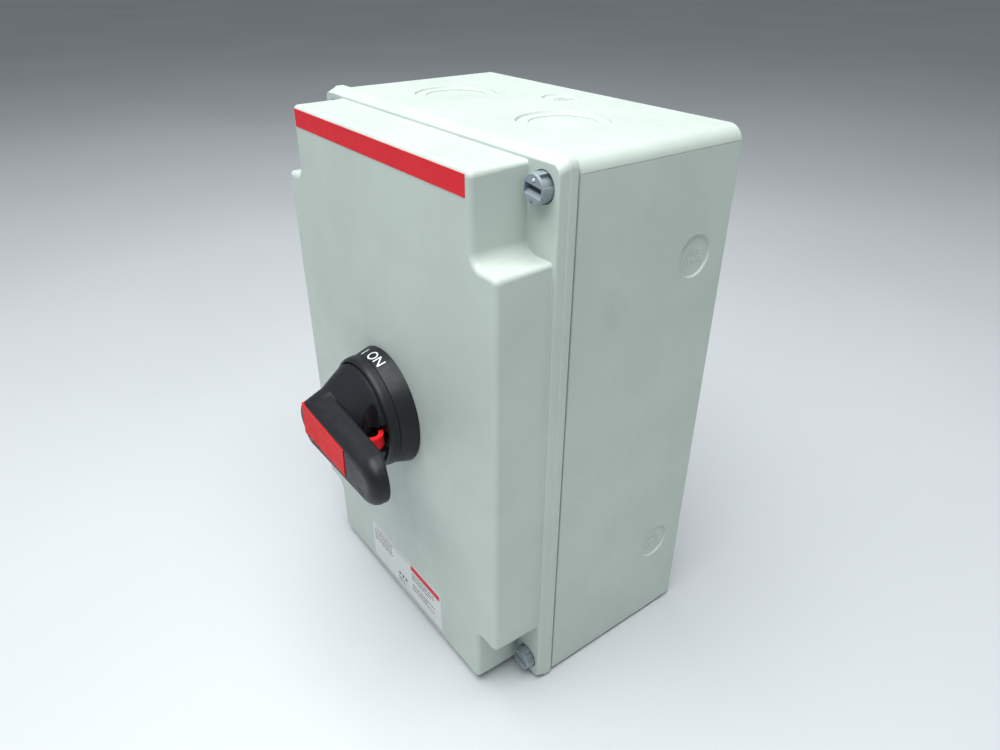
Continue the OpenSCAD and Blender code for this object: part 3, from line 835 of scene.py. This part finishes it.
def label_print():
    """The label's grey print: plain bars, a thin rule and a row of small blocks."""
    draw = random.Random(7)
    split, top = LABEL_SPLIT, LABEL.z1
    bars = text_lines(draw, LABEL.x0 + 2, split - 16, top - 4.4, 4, 2.5, 0.8)
    bars += text_lines(draw, split + 2, LABEL.x1 - 2.5, top - 7.5, 3, 2.1, 0.7)
    bars += text_lines(draw, split + 2, LABEL.x1 - 6, top - 16.5, 3, 2.1, 0.7)
    bars.append(bar(LABEL.x0 + 1, split - 1, top - 3.0, top - 2.75))
    bars.append(bar(LABEL.x0 + 1, LABEL.x1 - 1, top - 0.75, top - 0.55))
    for k in range(3):
        x = split - 15 + 4 * k
        bars.append(bar(x, x + 2.2, LABEL.z0 + 7, LABEL.z0 + 9.2))
    bars += text_lines(draw, split - 16, split - 3, LABEL.z0 + 5, 2, 2.1, 0.7)
    return join(*[sheet(points, LABEL.d1, 0.03, 0.01) for points in bars])


def label_band():
    """The plain red band across the label's right block."""
    points = bar(LABEL_SPLIT + 1, LABEL.x1 - 1.2, LABEL.z1 - 5.4, LABEL.z1 - 1.5)
    return sheet(points, LABEL.d1, 0.03, 0.01)


# ---------------------------------------------------------------- cover screws


def cover_screw(node, lean):
    """A captive quarter-turn screw: a shank, and a head with a slot, ribs and a pocket."""
    span = Span(node)
    x, z, front = span.x, span.z, span.d1
    radius = (span.x1 - span.x0) / 2
    foot, seat = 76, 105.3
    profile = [(0.01, foot), (2.4, foot), (3, foot + 0.8), (3, seat), (radius - 0.3, seat)]
    profile += [(radius, seat + 0.3), (radius, front - 2.2), (radius - 0.18, front - 2.0)]
    profile += [(radius - 0.18, front - 0.5), (radius - 0.5, front), (0.01, front)]
    solid = lathe(profile, x, z, 72)
    turn = at_screw(x, z, lean)
    tools = [slot_rings(front), notch_rings(front, radius), well_rings(front)]
    tools.append(pocket_rings(front, radius))
    solid = minus(solid, *[placed(rings, turn) for rings in tools])
    ribs = [placed(rib_rings(front, radius, angle), turn) for angle in (1.6, 2.9, 4.4, 5.6)]
    return plus(solid, *ribs)


def screw_dot(node, lean):
    """The painted dot above a screw's slot."""
    span = Span(node)
    rings = []
    for radius, d in ((0.78, -0.6), (0.78, 0.1), (0.68, 0.25), (0.45, 0.32)):
        rings.append([(px, DOT_Y + py, span.d1 + d) for px, py in disc(0, 0, radius, 24)])
    return placed(rings, at_screw(span.x, span.z, lean))


def at_screw(x, z, lean):
    """A matrix that takes a screw's own (right, up, depth) to its place in the frame."""
    face = Matrix(((1, 0, 0, 0), (0, 0, -1, 0), (0, 1, 0, 0), (0, 0, 0, 1)))
    return Matrix.Translation(at(x, 0, z)) @ Matrix.Rotation(lean, 4, "Y") @ face


def slot_rings(front):
    """The slot, with its lower side sloped near the face."""
    length, half, deep = 5.2, 1.65, 4.0
    low = {front + 1: -3.9, front: -3.0, front - 1.8: -1.4, front - deep: -1.4}
    return [
        [(-length, bottom, d), (length, bottom, d), (length, half, d), (-length, half, d)]
        for d, bottom in low.items()
    ]


def notch_rings(front, radius):
    """An arrow-like nick in the face under the slot."""
    foot = -radius + 0.2
    points = [(-1.0, foot), (1.0, foot), (0.0, foot + 2.1)]
    return [[(px, py, d) for px, py in points] for d in (front - 0.6, front + 0.5)]


def well_rings(front):
    """The shallow round well that the dot stands in."""
    radius, deep = 1.15, 0.45
    return [
        [(px, DOT_Y + py, d) for px, py in disc(0, 0, radius, 24)]
        for d in (front - deep, front + 1)
    ]


def pocket_rings(front, radius):
    """A pocket in the head's side, at the upper right."""
    start, turn, deep = math.radians(20), math.radians(55), 1.7
    outline = arc((0, 0), radius + 1, start, turn, 12)
    outline += arc((0, 0), radius - deep, start + turn, -turn, 12)
    return [[(px, py, d) for px, py in outline] for d in (107, front - 1)]


def rib_rings(front, radius, angle):
    """A short rib on the side of a screw's head."""
    out, half = 0.22, 0.3
    along = Vector((math.cos(angle), math.sin(angle)))
    aside = Vector((-along.y, along.x))
    rings = []
    for d in (front - 5.2, front - 2.6):
        corners = [
            along * (radius - 0.5) - aside * half,
            along * (radius + out) - aside * half * 0.6,
            along * (radius + out) + aside * half * 0.6,
            along * (radius - 0.5) + aside * half,
        ]
        rings.append([(p.x, p.y, d) for p in corners])
    return rings


# ---------------------------------------------------------------- handle


def bezel_radius(d):
    """Radius of the bezel's tapered side at a depth."""
    taper = 0.272
    return BEZEL.x1 - 0.05 - (d - BEZEL.d0) * taper


def bezel():
    """The round bezel: a taper, a parting line, a collar with a full edge, and a recess."""
    back, front = BEZEL.d0, BEZEL.d1
    line, groove = 150.2, 0.3
    side = bezel_radius(line)
    bore, recess, recess_d = 10.05, 28.9, 151
    profile = [(bore, back), (BEZEL.x1 - 0.3, back), (BEZEL.x1 - 0.1, back + 0.3)]
    profile += [(side, line), (side - groove, line + 0.15), (side - groove, line + 0.4)]
    profile += [(31.1, line + 0.55), (31.3, line + 0.9)]
    edge_r, edge_d, foot_r, foot_d = 1.7, front - 153, 29.4, 153
    for k in range(9):
        angle = math.pi / 2 * k / 8
        profile.append((foot_r + edge_r * math.cos(angle), foot_d + edge_d * math.sin(angle)))
    profile += [(recess, front - 0.25), (recess, recess_d), (bore, recess_d)]
    return lathe(profile, steps=128, closed=True)


def stroke(points, wide, closed=False):
    """A flat ribbon of that width along points, as pairs of left and right points."""
    pairs = []
    count = len(points)
    for i, point in enumerate(points):
        before = points[i - 1] if i or closed else points[i]
        after = points[(i + 1) % count] if i < count - 1 or closed else points[i]
        way = (Vector(after) - Vector(before)).normalized()
        aside = Vector((-way.y, way.x)) * wide / 2
        pairs.append((Vector(point) - aside, Vector(point) + aside))
    return pairs


def polyline(corners, step=0.25):
    """Points along straight runs, close enough to wrap round the bezel."""
    points = []
    for a, b in zip(corners, corners[1:]):
        run = (Vector(b) - Vector(a)).length
        count = max(1, round(run / step))
        points += [tuple(Vector(a).lerp(Vector(b), k / count)) for k in range(count)]
    return points + [corners[-1]]


def letters(word, tall, wide):
    """(points, closed) strokes for each letter, from generic plain capitals and a zero."""
    shares = {"I": 0.0, "N": 0.85, "F": 0.7, "O": 1.0, "0": 0.8, " ": 0.5}
    widths = {letter: share * wide for letter, share in shares.items()}
    between = 0.33 * wide
    oval = [(wide / 2 * (1 + math.cos(a)), tall / 2 * (1 + math.sin(a))) for a in turns(40)]
    shapes = {
        "I": ([(0, 0), (0, tall)],),
        "N": (
            [(0, 0), (0, tall)],
            [(0, tall), (widths["N"], 0)],
            [(widths["N"], 0), (widths["N"], tall)],
        ),
        "F": (
            [(0, 0), (0, tall)],
            [(0, tall), (widths["F"], tall)],
            [(0, tall / 2), (wide * 0.6, tall / 2)],
        ),
    }
    x = 0.0
    strokes = []
    for letter in word:
        if letter in "O0":
            strokes.append(([(x + px * shares[letter], py) for px, py in oval], True))
        for corners in shapes.get(letter, ()):
            strokes.append((polyline([(x + px, py) for px, py in corners]), False))
        x += widths[letter] + between
    return strokes, x - between


def wrapped_word(word, angle, foot_d, tall, wide, weight):
    """A painted word round the bezel's taper, its letters' tops towards the cover."""
    proud = 0.04
    strokes, length = letters(word, tall, wide)
    parts = []
    for points, closed in strokes:
        pairs = stroke(points, weight, closed)
        rings = []
        for left, right in pairs:
            ring = []
            for flat, lift in ((left, -0.2), (right, -0.2), (right, proud), (left, proud)):
                d = foot_d - flat.y
                radius = bezel_radius(d) + lift
                turn = angle + (flat.x - length / 2) / bezel_radius(foot_d)
                ring.append(at(radius * math.sin(turn), d, radius * math.cos(turn)))
            rings.append(ring)
        parts.append(loft(rings, closed=closed))
    return join(*parts)


def leaned(mesh):
    """The mesh, turned about the handle's axis by the grip's slight lean."""
    bmesh.ops.rotate(mesh, verts=mesh.verts, matrix=Matrix.Rotation(GRIP_LEAN, 3, "Y"))
    return mesh


def pill(left, right, steps=64):
    """The outline round two circles, each (x, radius), anticlockwise from the right."""
    points = []
    for k in range(steps):
        angle = TURN * (k + 0.5) / steps
        reach = [(x * math.cos(angle) + radius, x, radius) for x, radius in (left, right)]
        _, x, radius = max(reach)
        points.append((x + radius * math.cos(angle), radius * math.sin(angle)))
    return points


def blend(a, b, share):
    """Numbers between two tuples."""
    return tuple(p + (q - p) * share for p, q in zip(a, b))


def hub():
    """The handle's hub: a disc in the bezel, then a neck that narrows to the grip's left end."""
    rim, seat, middle, top = 28.2, (151.3, 158.5), 170.0, 181.4
    disc_edge = ((0, rim - 0.4), (0, rim - 0.4))
    foot = ((0, rim), (0, rim))
    waist = ((-9.3, 14.7), (4.0, 11.5))
    end = ((-7.6, 12.0), (-6.5, 11.9))
    profile = [(*disc_edge, seat[0]), (*foot, seat[0] + 0.4), (*foot, seat[1] - 0.4)]
    steps = 10
    for low, high, d0, d1 in ((foot, waist, seat[1], middle), (waist, end, middle, top)):
        for k in range(1, steps + 1):
            share = k / steps
            left, right = blend(low[0], high[0], share), blend(low[1], high[1], share)
            profile.append((left, right, d0 + (d1 - d0) * share))
    for k in range(1, 6):
        angle = math.pi / 2 * k / 5
        shrink = 2.4 * (1 - math.cos(angle))
        left, right = (end[0][0], end[0][1] - shrink), (end[1][0], end[1][1] - shrink)
        profile.append((left, right, top + 2.38 * math.sin(angle)))
    return loft([[at(x, d, z) for x, z in pill(left, right)] for left, right, d in profile])


def smooth(share):
    """0 below 0 and 1 above 1, with a soft start and end."""
    share = min(1.0, max(0.0, share))
    return share * share * (3 - 2 * share)


def grip_bar():
    """The grip, lofted in depth: a pill-shaped outline, full behind and domed at its tip."""
    end_x, tip_x, radius = -6.5, 50.0, 13.6
    front, back = 183.8, 168.8
    rings = []
    for k in range(9):
        angle = math.pi / 2 * k / 8
        inset = 3.0 * (1 - math.sin(angle))
        rings.append((inset, inset, back + 2.4 * (1 - math.cos(angle))))
    dome, dome_d = 7.5, 175.0
    for k, inset in enumerate((0.2, 0.35, 0.6, 0.95, 1.35, 1.8, 2.3, 2.9, 3.8)):
        angle = math.pi / 2 * k / 8
        depth = dome_d + (front - dome_d) * math.sin(angle)
        rings.append((inset, dome * (1 - math.cos(angle)), depth))
    solid = []
    for end_inset, tip_inset, d in rings:
        ring = []
        for x, z in pill((end_x, radius - end_inset), (tip_x, radius - tip_inset)):
            if z < 0:  # the lower side is fuller than the upper one
                z *= 1 + 0.8 * end_inset / (radius - end_inset)
            lift = 5.5 * smooth((x - 40) / 24) * (front - d) / (front - back)
            ring.append(at(x, d + lift, z))
        solid.append(ring)
    return loft(solid)


def plate_outline(gap):
    """The padlock slide's face plate, grown by gap all round."""
    x0, x1, z0, z1 = -14, 33, 9.8, 8
    return [
        (x0 - gap, -z0 - gap),
        (x1 + gap, -z1 - gap),
        (x1 + gap, z1 + gap),
        (x0 - gap, z0 + gap),
    ]


def across(x, d, radius, half):
    """A rod along the Z axis through (x, d)."""
    rings = [[(px, py, h) for px, py in disc(0, 0, radius)] for h in (-half, half)]
    return placed(rings, Matrix.Translation(at(x, d, 0)))


def block(x0, x1, d0, d1, half):
    """A plain block between two widths and two depths, and half that high each way."""
    return prism(bar(x0, x1, -half, half), d0, d1)


def grip():
    """The handle: hub and grip in one, cut for the slide, its spring and the drive shaft."""
    gap, half, clear_d, spring_r = 0.3, 3.8, 186, 4.4
    reach = EYE_R + gap
    body = plus(hub(), grip_bar())
    body = minus(body, prism(plate_outline(gap), PLATE_BACK_D, clear_d))
    body = minus(body, block(32, 34.1, PLATE_BACK_D, clear_d, 8.3))
    body = minus(body, block(TONGUE[0] - gap, TONGUE[1] + gap, EYE_D, clear_d, half))
    eye_way = block(EYE_X - reach, EYE_X + reach, 159.8 - reach, EYE_D + reach, half)
    body = minus(body, eye_way)
    body = minus(body, across(EYE_X, EYE_D, SHACKLE_R + gap, 30))
    body = minus(body, block(EYE_X, 31, 156.3, 170, 8.5))
    body = minus(body, lathe([(spring_r, 172), (spring_r, 180)], SPRING_X, 0, 48))
    body = leaned(body)
    foot = [(9.7, 133), (10, 133.3), (10, 134.2), (9.2, 134.2), (9.2, 136.4)]
    spigot = lathe(foot + [(10, 136.4), (10, 152)])
    return minus(plus(body, spigot), block(-3.1, 3.1, 132, 150, 3.1))


def padlock_slide():
    """The red slide: a face plate, and a tongue that ends in a hook for the shackle."""
    front, half = 184.1, 3.5
    plate = prism(plate_outline(0), front - 2, front)
    bites = [lathe([(1.9, front - 1.6), (2.1, front + 1)], x, -10.4, 20) for x in (-9, -3, 3)]
    body = plus(minus(plate, *bites), block(*TONGUE, EYE_D, front - 1, half))
    hook = minus(across(EYE_X, EYE_D, EYE_R, half), block(10, HOOK_X, 150, 180, 5))
    return leaned(minus(plus(body, hook), across(EYE_X, EYE_D, SHACKLE_R, 10)))


def coil(x, z, d0, d1, radius, wire_r, rounds):
    """A wire spring along the depth axis, with its ends closed flat."""
    steps, around = 28, 8
    count = round(rounds * steps)
    rings = []
    for k in range(count + 1):
        angle = TURN * k / steps
        share = smooth(k / count) * 0.3 + k / count * 0.7
        d = d0 + wire_r + (d1 - d0 - 2 * wire_r) * share
        ring = []
        for a in turns(around):
            reach = radius + wire_r * math.cos(a)
            px, pz = x + reach * math.cos(angle), z + reach * math.sin(angle)
            ring.append(at(px, d + wire_r * math.sin(a), pz))
        rings.append(ring)
    return loft(rings)


def detent_springs():
    """The two springs that press the detent plungers, lying along the X axis."""
    span = Span("detent_springs")
    made = []
    for s in SIDES:
        wound = coil(0, 0, DETENT_X[0], DETENT_X[1], 2.6, 0.7, 8)
        turn = Matrix.Rotation(s * math.pi / 2, 4, "Z")
        wound.transform(Matrix.Translation(at(0, (span.d0 + span.d1) / 2, span.z)) @ turn)
        made.append(wound)
    return join(*made)


def padlock_spring():
    """The spring behind the slide's plate, wound round the axis that leans with the grip."""
    span = Span("padlock_spring")
    return leaned(coil(SPRING_X, 0, span.d0, span.d1, 3.4, 0.7, 6))


# ---------------------------------------------------------------- the whole object


def extra(name, mesh, material, body):
    """A piece that adds detail to the object without standing for a CAD node."""
    piece(name, mesh, material, body, None)


def build_pieces():
    """Every detailed piece, with its material, its body and the CAD node it stands for."""
    grey, black = MATERIALS["enclosure_grey"], MATERIALS["handle_black"]
    steel = MATERIALS["zinc_steel"]
    piece("cover_shell", cover(), grey, "cover", "cover")
    piece("base_shell", base(), grey, "base", "base_box")
    piece("stripe_film", stripe(), MATERIALS["red_film"], "cover", "red_stripe")
    piece("label_film", label(), MATERIALS["label_white"], "cover", "rating_label")
    extra("label_print", label_print(), PRINT_GREY, "cover")
    extra("label_band", label_band(), MATERIALS["red_film"], "cover")
    leans = {"top_right": 7, "top_left": 4, "bottom_right": 9, "bottom_left": 5}
    for corner, degrees in leans.items():
        node, lean = "cover_screw_" + corner, math.radians(degrees)
        piece("screw_" + corner, cover_screw(node, lean), MATERIALS["screw_grey"], node, node)
        paint = PRINT_WHITE if corner.startswith("top") else MATERIALS["screw_grey"]
        extra("screw_dot_" + corner, screw_dot(node, lean), paint, node)
    piece("bezel_ring", bezel(), black, "cover", "handle_bezel")
    on_mark = wrapped_word("I ON", math.radians(-2), 149.0, 5.0, 5.4, 0.85)
    off_mark = wrapped_word("0 OFF", math.radians(-90), 149.0, 5.0, 4.6, 0.8)
    extra("bezel_marks", join(on_mark, off_mark), PRINT_WHITE, "cover")
    piece("handle_body", grip(), black, "handle", "handle_grip")
    piece("slide_body", padlock_slide(), MATERIALS["slide_red"], "padlock_slide", "padlock_slide")
    spring = piece("slide_spring", padlock_spring(), steel, "handle", "padlock_spring")
    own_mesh(spring)
    piece("plunger_springs", detent_springs(), steel, "base", "detent_springs")


def dress_frame():
    """Materials and softened edges for the CAD nodes that are still shown."""
    for name, node in frame["nodes"].items():
        node.data.materials.clear()
        node.data.materials.append(MATERIALS[SLOTS[name]])
        weld = node.modifiers.new("weld", "WELD")
        weld.merge_threshold = 0.001 * MM
        soften = node.modifiers.new("soften", "BEVEL")
        soften.width, soften.segments, soften.limit_method = 0.15 * MM, 2, "ANGLE"
        soften.angle_limit = math.radians(40)
        even = node.modifiers.new("even_faces", "WEIGHTED_NORMAL")
        even.keep_sharp = True


# ---------------------------------------------------------------- floor, light and camera


def floor():
    """A plain pale floor under the box."""
    look = Surface("floor", roughness=0.6)
    cloud = look.between(look.noise(600, 3), 0.3, 0.7)
    look.feed("Base Color", look.mix(cloud, (0.56, 0.58, 0.60), (0.60, 0.62, 0.64)))
    side, thick = 9000, 20
    mesh = prism([(-side, -side), (side, -side), (side, side), (-side, side)], 0, thick)
    made = to_object(mesh, "floor")
    made.data.transform(Matrix.Rotation(-math.pi / 2, 4, "X"))
    made.location.z = CAD_BOX[0][2] - thick * MM
    made.data.materials.append(look.material)


def soft_light(name, place, target, size, watts, colour):
    """A square area light that points at a target."""
    data = bpy.data.lights.new(name, "AREA")
    data.shape, data.size, data.energy, data.color = "SQUARE", size, watts, colour
    made = bpy.data.objects.new(name, data)
    made.location = place
    made.rotation_euler = (Vector(target) - Vector(place)).to_track_quat("-Z", "Y").to_euler()
    bpy.context.scene.collection.objects.link(made)


def lights():
    """A large light overhead, a little forward, and a weak one at the front and at the right."""
    centre = (0, -0.07, 0)
    soft_light("overhead", (0.1, -0.35, 1.2), centre, 1.2, 30, (0.98, 1.0, 1.0))
    soft_light("front", (-0.9, -1.7, 0.7), centre, 1.3, 2, (0.86, 0.95, 1.0))
    soft_light("right", (1.7, -0.2, 0.5), centre, 1.0, 1.2, (0.88, 1.0, 0.88))
    world = bpy.data.worlds.new("studio")
    world.use_nodes = True
    world.node_tree.nodes["Background"].inputs["Color"].default_value = (0.80, 0.86, 0.92, 1)
    world.node_tree.nodes["Background"].inputs["Strength"].default_value = 0.27
    bpy.context.scene.world = world


def camera():
    """The camera, looking down at the box's front and right side."""
    yaw, pitch, roll = -0.926, 0.531, 0.004
    ahead = Vector(
        (math.sin(yaw) * math.cos(pitch), math.cos(yaw) * math.cos(pitch), -math.sin(pitch))
    )
    right = Vector((math.cos(yaw), -math.sin(yaw), 0))
    up = right.cross(ahead)
    tilt = Matrix.Rotation(-roll, 3, ahead)
    right, up = tilt @ right, tilt @ up
    data = bpy.data.cameras.new("camera")
    data.lens, data.sensor_width = 26.5, 36
    data.clip_start, data.clip_end = 0.01, 50
    made = bpy.data.objects.new("camera", data)
    turn = Matrix((right, up, -ahead)).transposed().to_4x4()
    made.matrix_world = Matrix.Translation((0.3109, -0.2971, 0.2199)) @ turn
    bpy.context.scene.collection.objects.link(made)
    bpy.context.scene.camera = made


camera()
floor()
lights()
bpy.context.scene.view_settings.view_transform = "Standard"
dress_frame()
build_pieces()
